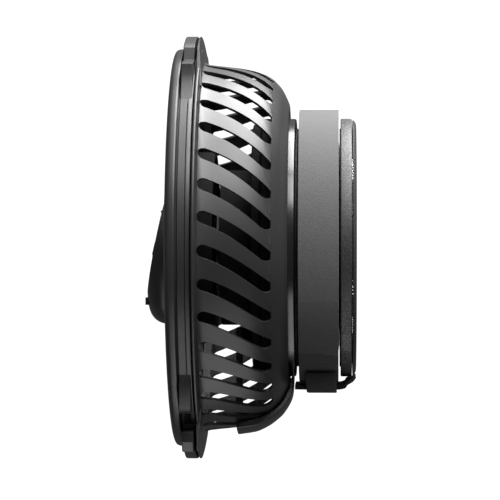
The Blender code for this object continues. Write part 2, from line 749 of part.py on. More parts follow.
def main():
    clear_scene()
    finishes = make_finishes()
    bodies = [make_body(name) for name in ("pump", "rotor", "cover", "spacer", "dry_side")]
    pump, rotor, cover, spacer, dry_side = bodies
    make_cage(finishes, pump)
    make_cage_strut(finishes, pump)
    make_housing(finishes, pump)
    make_can(finishes, pump)
    make_can_seal(finishes, pump)
    make_stator(finishes, pump)
    make_coils(finishes, pump)
    make_board(finishes, pump)
    make_lead_gland(finishes, pump)
    make_shaft(finishes, pump)
    make_base_plate(finishes, pump)
    make_magnets("wet", MAGNET_COUNT, WET_MAGNET_RING, 6.4, -11.6, -6.4, finishes, pump)
    make_rotor(finishes, rotor)
    make_cover(finishes, cover)
    make_grille(finishes, cover)
    make_nose(finishes, cover)
    make_pads_and_foam(finishes, pump, spacer)
    make_dry_side(finishes, dry_side)
    make_magnets("dry", MAGNET_COUNT, DRY_MAGNET_RING, 10.0, 14.4, 16.6, finishes, dry_side)
    make_saddle(finishes, pump)
    make_strap(finishes, dry_side)
    make_block(finishes, dry_side)


main()
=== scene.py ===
"""The looks of the wave maker pump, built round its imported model.

Dimensions are in millimetres in the model's own frame, and become metres where a mesh is
made: the pump's axis is Y, the outlet faces -Y, the dry side is at +Y and Z is up.
A profile is a closed list of (y, radius) points, and an outline a closed list of (x, z) points.
"""
import json
import math

import bmesh
import bpy
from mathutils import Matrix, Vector


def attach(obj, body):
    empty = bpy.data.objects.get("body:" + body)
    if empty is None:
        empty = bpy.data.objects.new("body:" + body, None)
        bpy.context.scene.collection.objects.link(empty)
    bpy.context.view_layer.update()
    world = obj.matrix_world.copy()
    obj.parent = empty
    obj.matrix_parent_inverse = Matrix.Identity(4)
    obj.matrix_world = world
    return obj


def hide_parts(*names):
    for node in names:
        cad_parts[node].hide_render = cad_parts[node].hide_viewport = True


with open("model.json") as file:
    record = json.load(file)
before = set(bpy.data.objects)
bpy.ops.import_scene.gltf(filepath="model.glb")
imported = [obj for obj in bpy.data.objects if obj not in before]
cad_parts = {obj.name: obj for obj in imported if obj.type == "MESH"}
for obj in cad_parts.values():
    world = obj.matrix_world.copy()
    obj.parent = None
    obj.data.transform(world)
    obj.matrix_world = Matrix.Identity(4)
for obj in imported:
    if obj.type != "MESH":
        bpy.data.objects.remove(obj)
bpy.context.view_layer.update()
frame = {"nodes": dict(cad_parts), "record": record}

MM = 0.001
ROUND_STEPS = 144
SMOOTH_ANGLE = math.radians(32)

# Sizes shared with the model
SLOT_COUNT = 36
SLOT_FRONT = -28.1
SLOT_LENGTH = 20.8
SLOT_HALF_WIDTH = 1.78
SLOT_LEAN = 0.27
SLOT_CURL = 0.0165
CAGE_WALL = 0.9
CAGE_MEAN_RADIUS = 54.5
CAGE_OUTER = [
    (-28.3, 56.1), (-27.0, 55.5), (-24.0, 55.1), (-20.0, 54.7), (-15.4, 54.0),
    (-12.5, 53.3), (-10.0, 52.4), (-7.9, 51.2), (-6.4, 49.8), (-5.0, 48.2),
    (-3.9, 46.2), (-3.0, 44.2), (-2.65, 43.0), (-2.9, 41.6), (-3.9, 40.0),
]
FLANGE_FRONT = -29.6
FLANGE_RADIUS = 60.0
SPIGOT_BORE = 55.2
LUG_TIP = 64.0
LUG_NEAR = [
    (40.7, 41.6), (38.4, 44.8), (36.6, 47.8), (35.7, 50.8), (35.5, 53.9), (24.2, 55.4), (23.2, 59.4),
]
LUG_FAR = [
    (-30.4, 59.6), (-33.0, 56.6), (-33.0, 53.4), (-27.5, 53.0), (-28.0, 48.4), (-45.0, 47.2),
    (-47.3, 46.2), (-46.3, 43.0), (-45.8, 40.0), (-45.8, 37.6), (-46.4, 35.2),
]
LUG_TIP_HALF_ANGLE = math.radians(20)
LUG_ROOT_RADIUS = 57.6
LUG_FRONT, LUG_BACK = -33.7, -30.3
CAGE_LUG_NEAR = [(31.0, 47.6), (24.8, 58.8)]
CAGE_LUG_FAR = [(-28.5, 59.4), (-32.0, 47.0)]
CAGE_LUG_ROOT_RADIUS = 55.6
CAGE_LUG_BACK = -27.9
CAGE_LUG_TAPER = 0.085
PUCK_RADIUS = 39.1
PAD_RADIUS = 36.1
PAD_RECESS = 36.45
FOAM_RADIUS = 41.3
FOAM_RISE = 0.5
NOSE_TAB = [(4.0, -15.0), (9.0, -15.0), (9.0, -17.2), (4.0, -17.2)]
NOSE_TAB_FRONT = -46.05

# The view
VIEW_POINT = (777.0, 11.5, 6.0)
VIEW_AIM = (0.0, -14.82, -0.7296)
VIEW_WIDTH = 152.0


# Meshes


def around(radius, angle, y):
    """The point at this radius from the axis, with the angle taken from +Z towards +X."""
    return (radius * math.sin(angle), y, radius * math.cos(angle))


def vertex(bm, point):
    return bm.verts.new([value * MM for value in point])


def bridge(bm, first, second):
    """Faces between two closed rings. A ring of one point is a pole."""
    count = max(len(first), len(second))
    if count == 1:
        return
    for i in range(count):
        corners = (
            first[i % len(first)], first[(i + 1) % len(first)],
            second[(i + 1) % len(second)], second[i % len(second)],
        )
        bm.faces.new(list(dict.fromkeys(corners)))


def add_turned(bm, profile, steps=ROUND_STEPS, drop=0.0):
    rings = []
    for y, radius in profile:
        count = steps if radius > 0 else 1
        points = [around(radius, math.tau * i / steps, y) for i in range(count)]
        rings.append([vertex(bm, (x, y, z + drop)) for x, y, z in points])
    for first, second in zip(rings, rings[1:] + rings[:1]):
        bridge(bm, first, second)


def add_loft(bm, sections):
    rings = [[vertex(bm, point) for point in section] for section in sections]
    for first, second in zip(rings, rings[1:]):
        bridge(bm, first, second)
    bm.faces.new(rings[0])
    bm.faces.new(rings[-1])


def add_prism(bm, outline, front, back):
    add_loft(bm, [[(x, y, z) for x, z in outline] for y in (front, back)])


def make_piece(name, bm, material, body, replaced, bevel=0.0, bevel_steps=2):
    """A finished piece: outward faces, smooth shading, its finish, its body and its replaced CAD nodes
    hidden.
    """
    bmesh.ops.recalc_face_normals(bm, faces=bm.faces)
    if bm.calc_volume(signed=True) < 0:
        bmesh.ops.reverse_faces(bm, faces=bm.faces)
    mesh = bpy.data.meshes.new(name)
    bm.to_mesh(mesh)
    bm.free()
    mesh.shade_smooth()
    mesh.set_sharp_from_angle(angle=SMOOTH_ANGLE)
    mesh.materials.append(material)
    piece = bpy.data.objects.new(name, mesh)
    bpy.context.collection.objects.link(piece)
    if bevel:
        edge = piece.modifiers.new("edges", "BEVEL")
        edge.width = bevel * MM
        edge.segments = bevel_steps
        edge.limit_method = "ANGLE"
        edge.angle_limit = SMOOTH_ANGLE
        edge.use_clamp_overlap = True
        edge.harden_normals = True
    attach(piece, body)
    if replaced:
        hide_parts(*replaced)
    return piece


def soften(profile, radius, steps=4):
    """The closed profile with each corner that is off the axis made an arc."""
    made = []
    count = len(profile)
    for i in range(count):
        here = Vector(profile[i])
        before = Vector(profile[i - 1]) - here
        after = Vector(profile[(i + 1) % count]) - here
        if here.y == 0.0 or before.length < 1e-6 or after.length < 1e-6:
            made.append(tuple(here))
            continue
        angle = before.angle(after)
        if angle > math.radians(168):
            made.append(tuple(here))
            continue
        reach = min(radius / math.tan(angle / 2), 0.45 * before.length, 0.45 * after.length)
        start = here + before.normalized() * reach
        end = here + after.normalized() * reach
        for j in range(steps + 1):
            share = j / steps
            point = start * (1 - share) ** 2 + here * 2 * share * (1 - share) + end * share**2
            made.append(tuple(point))
    return made


def arc_points(radius, start, end, steps):
    angles = [start + (end - start) * i / steps for i in range(steps + 1)]
    return [(radius * math.sin(angle), radius * math.cos(angle)) for angle in angles]


def offset_profile(profile, distance):
    """The profile moved sideways, towards the axis if it runs along +Y."""
    moved = []
    for i, (y, radius) in enumerate(profile):
        before = profile[max(i - 1, 0)]
        after = profile[min(i + 1, len(profile) - 1)]
        along, out = after[0] - before[0], after[1] - before[1]
        length = math.hypot(along, out)
        moved.append((y + distance * out / length, radius - distance * along / length))
    return moved


def smooth_profile(points, steps=4):
    """A Catmull-Rom curve through the points."""
    made = []
    last = len(points) - 1
    for i in range(last):
        p0, p1 = Vector(points[max(i - 1, 0)]), Vector(points[i])
        p2, p3 = Vector(points[i + 1]), Vector(points[min(i + 2, last)])
        for j in range(steps):
            t = j / steps
            point = 0.5 * (
                2 * p1 + (p2 - p0) * t + (2 * p0 - 5 * p1 + 4 * p2 - p3) * t**2
                + (3 * p1 - p0 - 3 * p2 + p3) * t**3
            )
            made.append(tuple(point))
    return made + [tuple(points[-1])]


def profile_at(profile, y):
    if y <= profile[0][0]:
        return y, profile[0][1]
    for (y0, r0), (y1, r1) in zip(profile, profile[1:]):
        if y0 <= y <= y1:
            return y, r0 + (r1 - r0) * (y - y0) / (y1 - y0)
    return profile[-1]


# Materials


class Nodes:
    """Short calls for building a node tree."""

    def __init__(self, name):
        self.material = bpy.data.materials.new(name)
        self.material.use_nodes = True
        self.tree = self.material.node_tree
        self.shader = self.tree.nodes["Principled BSDF"]
        coordinates = self.tree.nodes.new("ShaderNodeTexCoord")
        self.place = coordinates.outputs["Object"]

    def link(self, output, target):
        self.tree.links.new(output, target)

    def noise(self, scale, detail=2.0, roughness=0.5):
        made = self.tree.nodes.new("ShaderNodeTexNoise")
        made.inputs["Scale"].default_value = scale
        made.inputs["Detail"].default_value = detail
        made.inputs["Roughness"].default_value = roughness
        self.link(self.place, made.inputs["Vector"])
        return made.outputs["Fac"]

    def cells(self, scale):
        made = self.tree.nodes.new("ShaderNodeTexVoronoi")
        made.inputs["Scale"].default_value = scale
        self.link(self.place, made.inputs["Vector"])
        return made.outputs["Distance"]

    def spread(self, value, low, high, new_low, new_high):
        made = self.tree.nodes.new("ShaderNodeMapRange")
        self.link(value, made.inputs["Value"])
        limits = {"From Min": low, "From Max": high, "To Min": new_low, "To Max": new_high}
        for name, number in limits.items():
            made.inputs[name].default_value = number
        return made.outputs["Result"]

    def add(self, first, second, share=1.0):
        made = self.tree.nodes.new("ShaderNodeMath")
        made.operation = "MULTIPLY_ADD"
        self.link(second, made.inputs[0])
        made.inputs[1].default_value = share
        self.link(first, made.inputs[2])
        return made.outputs[0]

    def tint(self, value, dark, light):
        made = self.tree.nodes.new("ShaderNodeValToRGB")
        made.color_ramp.elements[0].color = (*dark, 1.0)
        made.color_ramp.elements[1].color = (*light, 1.0)
        self.link(value, made.inputs["Fac"])
        self.link(made.outputs["Color"], self.shader.inputs["Base Color"])

    def bump(self, height, depth):
        """Depth is in millimetres."""
        made = self.tree.nodes.new("ShaderNodeBump")
        made.inputs["Strength"].default_value = 1.0
        made.inputs["Distance"].default_value = depth * MM
        self.link(height, made.inputs["Height"])
        self.link(made.outputs["Normal"], self.shader.inputs["Normal"])


def moulded(name, colour, roughness, grain, depth, variation=0.12, specular=0.5, patchiness=0.05):
    """Moulded plastic or rubber: spark-eroded grain, faint flow marks and uneven gloss."""
    nodes = Nodes(name)
    fine = nodes.noise(grain, 3.0, 0.6)
    broad = nodes.noise(60.0, 3.0)
    shade = nodes.spread(nodes.add(broad, fine, 0.35), 0.35, 1.0, 0.0, 1.0)
    nodes.tint(
        shade,
        tuple(c * (1 - variation) for c in colour),
        tuple(c * (1 + variation) for c in colour),
    )
    rough = nodes.spread(
        nodes.add(broad, fine, 0.6), 0.4, 1.2, roughness - patchiness, roughness + patchiness
    )
    nodes.link(rough, nodes.shader.inputs["Roughness"])
    nodes.shader.inputs["Specular IOR Level"].default_value = specular
    nodes.bump(fine, depth)
    return nodes.material


def speckled(name, colour, roughness):
    """Semi-matt plastic whose coarse grain shows as fine light and dark specks."""
    nodes = Nodes(name)
    fine = nodes.noise(2600.0, 3.0, 0.65)
    coarse = nodes.cells(1500.0)
    grain = nodes.add(fine, coarse, 0.7)
    nodes.tint(
        nodes.spread(grain, 0.5, 1.1, 0.0, 1.0),
        tuple(c * 0.75 for c in colour), tuple(c * 1.4 for c in colour),
    )
    nodes.link(
        nodes.spread(grain, 0.5, 1.1, roughness - 0.1, roughness + 0.1),
        nodes.shader.inputs["Roughness"],
    )
    nodes.bump(grain, 0.035)
    return nodes.material


def foam(name, colour):
    """Closed-cell foam: open skinned pores and soft mottling."""
    nodes = Nodes(name)
    pores = nodes.cells(1900.0)
    mottle = nodes.noise(240.0, 4.0, 0.6)
    height = nodes.add(mottle, pores, 0.8)
    nodes.tint(
        nodes.spread(height, 0.35, 1.05, 0.0, 1.0),
        tuple(c * 0.86 for c in colour), tuple(c * 1.12 for c in colour),
    )
    nodes.link(nodes.spread(height, 0.35, 1.05, 0.8, 0.95), nodes.shader.inputs["Roughness"])
    nodes.shader.inputs["Specular IOR Level"].default_value = 0.3
    nodes.shader.inputs["Sheen Weight"].default_value = 0.15
    nodes.bump(height, 0.05)
    return nodes.material


def metal(name, colour, roughness, grain, depth=0.004):
    nodes = Nodes(name)
    fine = nodes.noise(grain, 4.0, 0.7)
    nodes.tint(fine, tuple(c * 0.85 for c in colour), tuple(min(1.0, c * 1.1) for c in colour))
    nodes.link(
        nodes.spread(fine, 0.3, 0.7, roughness - 0.06, roughness + 0.08),
        nodes.shader.inputs["Roughness"],
    )
    nodes.shader.inputs["Metallic"].default_value = 1.0
    nodes.bump(fine, depth)
    return nodes.material


def windings(name, colour):
    """Enamelled wire laid in rows."""
    nodes = Nodes(name)
    wave = nodes.tree.nodes.new("ShaderNodeTexWave")
    wave.bands_direction = "Y"
    wave.inputs["Scale"].default_value = 620.0
    wave.inputs["Distortion"].default_value = 0.6
    nodes.link(nodes.place, wave.inputs["Vector"])
    nodes.tint(wave.outputs["Fac"], tuple(c * 0.4 for c in colour), colour)
    nodes.link(nodes.spread(wave.outputs["Fac"], 0.0, 1.0, 0.45, 0.28), nodes.shader.inputs["Roughness"])
    nodes.shader.inputs["Metallic"].default_value = 0.9
    nodes.bump(wave.outputs["Fac"], 0.12)
    return nodes.material


def make_finishes():
    """A finish for each slot, and "shade", a darker one that three inner pieces take instead: painted shade,
    near-black to stand for the shade inside the cage.
    """
    return {
        "satin": moulded("satin_plastic", (0.019, 0.019, 0.02), 0.42, 2400.0, 0.012),
        # painted shade: a near-black colour, darker than these pieces' own slot finishes, that stands in for
        # the shade inside the cage
        "shade": moulded("painted_shade_inner_plastic", (0.004, 0.004, 0.004), 0.7, 2400.0, 0.02, 0.2, 0.12),
        "gloss": moulded("gloss_plastic", (0.010, 0.010, 0.011), 0.24, 1600.0, 0.004),
        "grain": speckled("speckled_plastic", (0.02, 0.02, 0.021), 0.5),
        "rubber": moulded("black_rubber", (0.009, 0.009, 0.009), 0.62, 1800.0, 0.02, 0.2, 0.35),
        "foam": foam("grey_foam", (0.08, 0.08, 0.081)),
        "ceramic": moulded("white_ceramic", (0.8, 0.79, 0.75), 0.2, 900.0, 0.003, 0.03),
        "nickel": metal("nickel_plate", (0.62, 0.6, 0.56), 0.26, 1400.0),
        "ferrite": moulded("sintered_ferrite", (0.05, 0.045, 0.045), 0.55, 1500.0, 0.03, 0.2),
        "steel": metal("stator_steel", (0.38, 0.38, 0.4), 0.4, 2200.0),
        "copper": windings("copper_wire", (0.72, 0.33, 0.16)),
        "board": moulded("circuit_board", (0.02, 0.16, 0.06), 0.42, 700.0, 0.02, 0.3),
        "nylon": moulded("white_nylon", (0.72, 0.71, 0.67), 0.5, 1300.0, 0.01, 0.04),
    }


# Intake cage


def slot_centre(along):
    """How far the slot's middle line has moved sideways, in mm, this far behind its front end."""
    return SLOT_LEAN * along + SLOT_CURL * along**2


def slot_stations():
    """(distance behind the front end, half width) along a slot with round ends."""
    quarter = [math.radians(a) for a in (0, 18, 36, 54, 72, 90)]
    front = [(SLOT_HALF_WIDTH * (1 - math.cos(a)), SLOT_HALF_WIDTH * math.sin(a)) for a in quarter]
    back = [(SLOT_LENGTH - along, half) for along, half in reversed(front)]
    inner_steps = 9
    first, last = front[-1][0], back[0][0]
    middle = [
        (first + (last - first) * i / inner_steps, SLOT_HALF_WIDTH) for i in range(1, inner_steps)
    ]
    return front + middle + back


def cage_point(profile, along, sideways, centre):
    """A point on the cage's surface, given by its distances along and beside a slot."""
    y, radius = profile_at(profile, SLOT_FRONT + along)
    return around(radius, centre + sideways / CAGE_MEAN_RADIUS, y)


def slot_columns(bm, profile, along, half):
    """Columns (left, right, middle of rib) at one station along the slots."""
    slope = SLOT_LEAN + 2 * SLOT_CURL * along
    length = math.hypot(slope, 1.0)
    back_shift, side_shift = half * slope / length, half / length
    pitch = math.tau / SLOT_COUNT
    columns = []
    for i in range(SLOT_COUNT):
        centre = i * pitch
        middle_line = slot_centre(along)
        left = vertex(bm, cage_point(profile, along + back_shift, middle_line - side_shift, centre))
        right = left
        if half > 1e-6:
            right = vertex(
                bm, cage_point(profile, along - back_shift, middle_line + side_shift, centre)
            )
        middle = vertex(bm, cage_point(profile, along, middle_line, centre + pitch / 2))
        columns.append((left, right, middle))
    return columns


def plain_columns(bm, point, turn):
    """The same columns where the wall is whole."""
    y, radius = point
    pitch = math.tau / SLOT_COUNT
    columns = []
    for i in range(SLOT_COUNT):
        edge = vertex(bm, around(radius, i * pitch + turn, y))
        middle = vertex(bm, around(radius, (i + 0.5) * pitch + turn, y))
        columns.append((edge, edge, middle))
    return columns


def add_ribs(bm, first, second):
    for i, ((_, right, middle), (_, next_right, next_middle)) in enumerate(zip(first, second)):
        left, next_left = first[(i + 1) % SLOT_COUNT][0], second[(i + 1) % SLOT_COUNT][0]
        bm.faces.new((right, middle, next_middle, next_right))
        bm.faces.new((middle, left, next_left, next_middle))


def add_slot_sides(bm, outer, inner, next_outer, next_inner):
    for side in (0, 1):
        for rings in zip(outer, inner, next_inner, next_outer):
            bm.faces.new([columns[side] for columns in rings])


def add_cage_wall(bm):
    outer_line = smooth_profile(CAGE_OUTER, 3)
    inner_line = offset_profile(outer_line, CAGE_WALL)
    edge, back = 0.35, -28.65
    turns = [math.pi / 8 * i for i in range(5)]
    flange = [
        (FLANGE_FRONT + edge * (1 - math.cos(a)), FLANGE_RADIUS - edge * (1 - math.sin(a))) for a in turns
    ]
    flange += [(back - edge * (1 - math.sin(a)), FLANGE_RADIUS - edge * (1 - math.cos(a))) for a in turns]
    flange += [(-28.58, 58.8), (-28.5, 57.6), (-28.38, 56.6)]
    last = len(flange) - 1
    bore = [(FLANGE_FRONT + 1.3 * i / last, SPIGOT_BORE - 0.1 * i / last) for i in range(last + 1)]
    pairs = [
        (plain_columns(bm, outer, 0.0), plain_columns(bm, inner, 0.0), False)
        for outer, inner in zip(flange, bore)
    ]
    for along, half in slot_stations():
        outer = slot_columns(bm, outer_line, along, half)
        inner = slot_columns(bm, inner_line, along, half)
        pairs.append((outer, inner, half > 1e-6))
    turn = slot_centre(SLOT_LENGTH) / CAGE_MEAN_RADIUS
    behind = SLOT_FRONT + SLOT_LENGTH
    start = next(i for i, point in enumerate(outer_line) if point[0] > behind + 0.25)
    for outer, inner in zip(outer_line[start:], inner_line[start:]):
        pairs.append((plain_columns(bm, outer, turn), plain_columns(bm, inner, turn), False))
    for (outer, inner, is_open), (next_outer, next_inner, next_open) in zip(pairs, pairs[1:]):
        add_ribs(bm, outer, next_outer)
        add_ribs(bm, inner, next_inner)
        if is_open or next_open:
            add_slot_sides(bm, outer, inner, next_outer, next_inner)
    add_ribs(bm, pairs[0][0], pairs[0][1])
    add_ribs(bm, pairs[-1][0], pairs[-1][1])


def lug_tip():
    return arc_points(LUG_TIP, LUG_TIP_HALF_ANGLE, -LUG_TIP_HALF_ANGLE, 12)


def add_cage_lugs(bm):
    start, end = math.atan2(*CAGE_LUG_NEAR[0]), math.atan2(*CAGE_LUG_FAR[-1])
    root = arc_points(CAGE_LUG_ROOT_RADIUS, end, start, 16)
    root_height = CAGE_LUG_NEAR[0][1]
    for side in (1, -1):
        outline = [(side * x, side * z) for x, z in CAGE_LUG_NEAR + lug_tip() + CAGE_LUG_FAR + root]
        back = [
            (x, CAGE_LUG_BACK - CAGE_LUG_TAPER * max(0.0, abs(z) - root_height), z)
            for x, z in outline
        ]
        add_loft(bm, [[(x, FLANGE_FRONT, z) for x, z in outline], back])


def make_cage(finishes):
    bm = bmesh.new()
    add_cage_wall(bm)
    make_piece("cage", bm, finishes["satin"], "pump", ["intake_cage"], 0.22)
    bm = bmesh.new()
    add_cage_lugs(bm)
    make_piece("cage_lugs", bm, finishes["satin"], "pump", [], 0.8, 4)
    bm = bmesh.new()
    add_prism(bm, [(-4.0, -24.2), (4.0, -24.2), (4.0, -52.7), (-4.0, -52.7)], -18.9, -17.0)
    make_piece("strut", bm, finishes["satin"], "pump", ["cage_strut"], 0.4)


# Front cover


def make_cover(finishes):
    dome = smooth_profile(
        [(-34.7, 60.2), (-35.9, 60.1), (-36.6, 59.7), (-37.0, 58.9), (-37.2, 57.6), (-37.4, 54.0),
         (-37.9, 45.0), (-38.8, 31.0)], 5,
    )
    mouth = [(-39.15, 29.9), (-39.3, 29.2), (-39.25, 28.6), (-38.95, 27.95), (-38.4, 27.6)]
    shroud = [(-25.0, 27.6), (-35.3, 27.6), (-35.3, 29.0), (-25.0, 29.0)]
    inside = [
        (-35.4, 27.6), (-35.4, 29.0), (-36.4, 30.6), (-35.7, 45.5), (-35.2, 53.0), (-34.6, 55.8),
        (-33.6, 56.6), (-31.4, 56.6), (-31.0, 53.6), (-28.7, 53.6), (-28.7, 54.9), (-29.9, 54.9),
    ]
    band = [
        (-29.9, 58.25), (-30.0, 58.5), (-30.25, 58.6), (-31.2, 58.6), (-31.35, 58.35),
        (-31.5, 58.6), (-33.45, 58.6), (-33.75, 58.25), (-33.95, 58.4), (-34.1, 59.8), (-34.3, 60.12),
    ]
    bm = bmesh.new()
    add_turned(bm, band + dome + mouth + inside)
    make_piece("cover", bm, finishes["satin"], "cover", ["front_cover"])
    bm = bmesh.new()
    add_turned(bm, soften(shroud, 0.3, 3))
    # painted shade: the shroud takes the near-black "shade" finish for the shade it sits in
    make_piece("outlet_shroud", bm, finishes["shade"], "cover", [])
    root = arc_points(LUG_ROOT_RADIUS, math.atan2(*LUG_FAR[-1]), math.atan2(*LUG_NEAR[0]), 32)
    bm = bmesh.new()
    for side in (1, -1):
        outline = [(side * x, side * z) for x, z in LUG_NEAR + lug_tip() + LUG_FAR + root]
        add_prism(bm, outline, LUG_FRONT, LUG_BACK)
    make_piece("cover_lugs", bm, finishes["satin"], "cover", [], 0.5, 3)


def make_grille(finishes):
    bm = bmesh.new()
    hub = [(-38.6, 4.3), (-38.6, 20.2), (-37.0, 20.2), (-37.0, 7.0), (-36.3, 7.0), (-36.3, 4.3)]
    ring = [(-38.6, 26.0), (-38.6, 27.2), (-34.4, 27.2), (-34.4, 26.0)]
    add_turned(bm, soften(hub, 0.4, 3))
    add_turned(bm, soften(ring, 0.4, 3))
    vanes, inner, outer = 18, 19.5, 26.6
    half, sweep, steps = 0.65, math.radians(18), 8
    for i in range(vanes):
        right, left = [], []
        for j in range(steps + 1):
            radius = inner + (outer - inner) * j / steps
            angle = math.tau * i / vanes + sweep * j / steps
            right.append((radius * math.sin(angle + half / radius), radius * math.cos(angle + half / radius)))
            left.append((radius * math.sin(angle - half / radius), radius * math.cos(angle - half / radius)))
        add_prism(bm, right + left[::-1], -38.3, -35.2)
    make_piece("grille", bm, finishes["satin"], "cover", ["outlet_grille"], 0.15)


def add_nose_ribs(bm, top, slope):
    """Low curved ribs, fanned out over the sloping face."""
    ribs, steps, tall, half = 7, 10, 0.45, 0.5
    for i in range(ribs):
        rib = []
        for j in range(steps + 1):
            radius = 3.0 + 12.0 * j / steps
            angle = math.tau * i / ribs + 0.9 * j / steps
            x, z = radius * math.sin(angle), radius * math.cos(angle) + 1.5
            out_x, out_z = half * math.cos(angle), -half * math.sin(angle)
            face = top[0] + (z - top[1]) * slope
            rib.append([
                (x - out_x, face + 0.3, z - out_z), (x + out_x, face + 0.3, z + out_z),
                (x + out_x * 0.6, face - tall, z + out_z * 0.6),
                (x - out_x * 0.6, face - tall, z - out_z * 0.6),
            ])
        add_loft(bm, rib)


def make_nose(finishes):
    """The nose: a rounded edge, a sloping face with low ribs, and a tab at its foot."""
    drop, radius, edge, front, back = -3.4, 19.8, 5.5, -45.3, -39.1
    corner, flat, steps = front + edge, radius - edge, 16
    turns = [math.pi / 2 * i / steps for i in range(steps + 1)]
    profile = [(back, 0.0), (back, radius)]
    profile += [(corner - edge * math.sin(a), flat + edge * math.cos(a)) for a in turns]
    rings = 10
    profile += [(front, flat * (1 - i / rings)) for i in range(1, rings + 1)]
    bm = bmesh.new()
    add_turned(bm, profile, ROUND_STEPS, drop)
    top, slope = (-39.4, 18.4), 6.1 / 33.1
    point = Vector((0.0, top[0], top[1])) * MM
    normal = Vector((0.0, -1.0, slope)).normalized()
    cut = bmesh.ops.bisect_plane(
        bm, geom=bm.verts[:] + bm.edges[:] + bm.faces[:], plane_co=point, plane_no=normal,
        clear_outer=True,
    )
    rim = [item for item in cut["geom_cut"] if isinstance(item, bmesh.types.BMEdge)]
    bmesh.ops.contextual_create(bm, geom=rim)
    add_prism(bm, NOSE_TAB, NOSE_TAB_FRONT, front + 2.0)
    add_nose_ribs(bm, top, slope)
    make_piece("nose", bm, finishes["satin"], "cover", ["nose_cap"], 0.3, 3)


# Wet side


def make_wet_side(finishes):
    housing = [
        (-23.3, 10.4), (-23.3, 11.2), (-21.9, 11.2), (-21.9, 12.8), (-23.3, 12.8), (-23.3, 23.5),
        (-13.6, 23.5), (-13.6, 37.4), (-11.0, 37.4), (-10.6, 39.1), (-4.9, 39.1), (-4.9, 37.0),
        (-10.2, 37.0), (-10.2, 35.4), (-12.0, 35.4), (-12.0, 21.6), (-21.3, 21.6),
        (-21.3, 14.2), (-21.0, 14.2), (-21.0, 10.4),
    ]
    bm = bmesh.new()
    add_turned(bm, soften(housing, 0.5, 4))
    # painted shade: the housing takes the near-black "shade" finish for the shade inside the cage
    make_piece("housing", bm, finishes["shade"], "pump", ["motor_housing"])
    plate = [
        (-1.5, 0.0), (-1.5, PAD_RECESS), (-0.6, PAD_RECESS), (-0.6, PUCK_RADIUS),
        (-4.6, PUCK_RADIUS), (-4.6, 36.7), (-6.0, 36.7), (-6.0, 35.4), (-4.6, 35.4), (-4.6, 0.0),
    ]
    bm = bmesh.new()
    add_turned(bm, soften(plate, 0.7, 6))
    make_piece("base_plate", bm, finishes["gloss"], "pump", ["wet_base_plate"])
    bm = bmesh.new()
    add_turned(bm, soften([(-1.45, 0.0), (-1.45, PAD_RADIUS), (0.0, PAD_RADIUS), (0.0, 0.0)], 0.25))
    make_piece("wet_cushion", bm, finishes["rubber"], "pump", ["wet_pad"])
    bm = bmesh.new()
    add_turned(bm, soften([(-18.0, 2.2), (-18.0, 3.0), (-13.9, 3.8), (-13.9, 2.2)], 0.3), 48)
    bmesh.ops.translate(bm, verts=bm.verts[:], vec=(-12.0 * MM, 0.0, -27.5 * MM))
    make_piece("gland", bm, finishes["rubber"], "pump", ["lead_gland"])


def blade_section(radius, start, sweep, front, back):
    steps = 14
    upper, lower = [], []
    for i in range(steps + 1):
        share = i / steps
        angle = start + sweep * share
        middle = front + (back - front) * (share + 0.12 * math.sin(math.pi * share))
        half = 0.55 * (0.3 + 0.7 * math.sin(math.pi * share))
        upper.append(around(radius, angle, middle - half))
        lower.append(around(radius, angle, middle + half))
    return upper + lower[::-1]


def make_propeller(finishes):
    front, back, root, tip, blades, sections = -31.0, -25.0, 8.2, 26.8, 5, 14
    bm = bmesh.new()
    add_turned(bm, soften([(front, 5.3), (front, 8.5), (back, 8.5), (back, 5.3)], 0.6), 96)
    for i in range(blades):
        blade = []
        for j in range(sections):
            share = j / (sections - 1)
            radius = root + (tip - root) * share
            start = math.tau * i / blades + math.radians(14) * share**2
            blade.append(blade_section(radius, start, math.radians(46 + 10 * share), front + 0.4, back - 0.4))
        add_loft(bm, blade)
    # painted shade: the impeller takes the near-black "shade" finish for the shade inside the cage
    make_piece("impeller", bm, finishes["shade"], "rotor", ["propeller"])


# Magnet mount


def make_mount(finishes):
    bm = bmesh.new()
    disc = [
        (0.05, 0.0), (0.05, 30.0), (0.3, 32.0), (0.3, FOAM_RADIUS), (12.1, FOAM_RADIUS),
        (12.1, 32.0), (12.35, 30.0), (12.35, 0.0),
    ]
    add_turned(bm, soften(disc, 0.22), drop=FOAM_RISE)
    make_piece("foam", bm, finishes["foam"], "spacer", ["foam_spacer"])
    bm = bmesh.new()
    add_turned(bm, soften([(12.4, 0.0), (12.4, PAD_RADIUS), (13.45, PAD_RADIUS), (13.45, 0.0)], 0.2))
    make_piece("dry_cushion", bm, finishes["rubber"], "dry_side", ["dry_pad"])
    shell = [
        (13.5, 0.0), (13.5, PAD_RECESS), (12.7, PAD_RECESS), (12.7, PUCK_RADIUS),
        (15.2, PUCK_RADIUS), (15.75, PUCK_RADIUS - 0.07),
        (16.05, PUCK_RADIUS - 0.2), (16.1, PUCK_RADIUS - 0.45), (16.1, 36.6), (14.1, 36.6), (14.1, 0.0),
    ]
    bm = bmesh.new()
    add_turned(bm, soften(shell, 0.3))
    make_piece("dry_cup", bm, finishes["grain"], "dry_side", ["dry_shell"])
    edge, centre_y, centre_r = 2.2, 15.2, PUCK_RADIUS - 2.2
    angles = [math.radians(32 + 58 * i / 10) for i in range(11)]
    curve = [(centre_y + edge * math.sin(a), centre_r + edge * math.cos(a)) for a in angles]
    lid = [(16.3, 36.0), (16.3, curve[0][1] - 0.25)] + curve + [(17.4, 0.0), (16.9, 0.0), (16.9, 36.0)]
    bm = bmesh.new()
    add_turned(bm, lid)
    make_piece("dry_lid", bm, finishes["grain"], "dry_side", ["dry_back_cover"])


